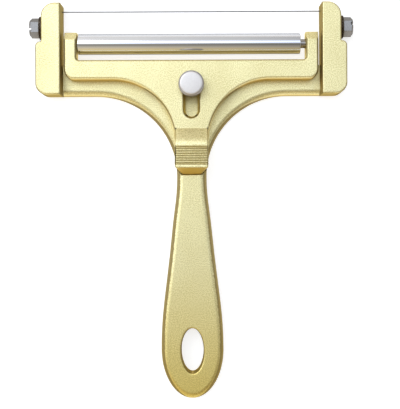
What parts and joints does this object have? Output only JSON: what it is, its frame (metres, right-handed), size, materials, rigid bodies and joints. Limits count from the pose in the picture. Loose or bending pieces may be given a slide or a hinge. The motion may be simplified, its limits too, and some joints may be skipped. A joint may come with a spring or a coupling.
{
  "type": "cheese slicer",
  "caption": "Handheld wire cheese slicer: a cast frame with a taut wire between two posts and a roller on a sliding carriage that sets the slice thickness.",
  "frame": {"origin": "under the middle of the outline, on the flat back that the slicer lies on", "axes": "+Z out of the front, where the roller carriage and the knob are; +Y from the handle to the wire; X along the wire"},
  "size_m": [0.157, 0.1914, 0.0212],
  "materials": {
    "gold_casting": "satin gold plated casting with a fine blasted grain",
    "wire_steel": "drawn stainless wire",
    "roller_steel": "polished stainless tube",
    "knob_silver": "satin nickel plated casting",
    "screw_steel": "bright zinc plated steel",
    "lock_washer_steel": "dark oiled spring steel",
    "bush_nylon": "moulded natural nylon"
  },
  "bodies": {
    "frame": {"frame_handle": "gold_casting", "cutting_wire": "wire_steel", "left_wire_ferrule": "screw_steel", "right_wire_ferrule": "screw_steel", "left_tension_screw": "screw_steel", "right_tension_screw": "screw_steel", "left_lock_washer": "lock_washer_steel", "right_lock_washer": "lock_washer_steel", "guide_bush": "screw_steel"},
    "carriage": {"roller_carriage": "gold_casting", "roller_axle": "roller_steel"},
    "roller": {"roller_tube": "roller_steel", "left_roller_bush": "bush_nylon", "right_roller_bush": "bush_nylon"},
    "washer": {"clamp_washer": "screw_steel"},
    "knob": {"clamp_knob": "knob_silver", "clamp_screw": "screw_steel"}
  },
  "joints": [
    {"name": "carriage_slide", "type": "slide", "parent": "frame", "child": "carriage", "axis": [0, 1, 0], "range_m": [0, 0.012]},
    {"name": "roller_spin", "type": "hinge", "parent": "carriage", "child": "roller", "pos_m": [0, 0.076, 0.009], "axis": [1, 0, 0], "continuous": true},
    {"name": "knob_lift", "type": "slide", "parent": "frame", "child": "washer", "axis": [0, 0, 1], "range_m": [0, 0.00142]},
    {"name": "knob_turn", "type": "hinge", "parent": "washer", "child": "knob", "pos_m": [0, 0.0558, 0.0135], "axis": [0, 0, 1], "range_deg": [0, 720]}
  ],
  "couplings": [
    {"joint": "knob_lift", "follows": "knob_turn", "m_per_rad": 0.00011141}
  ]
}
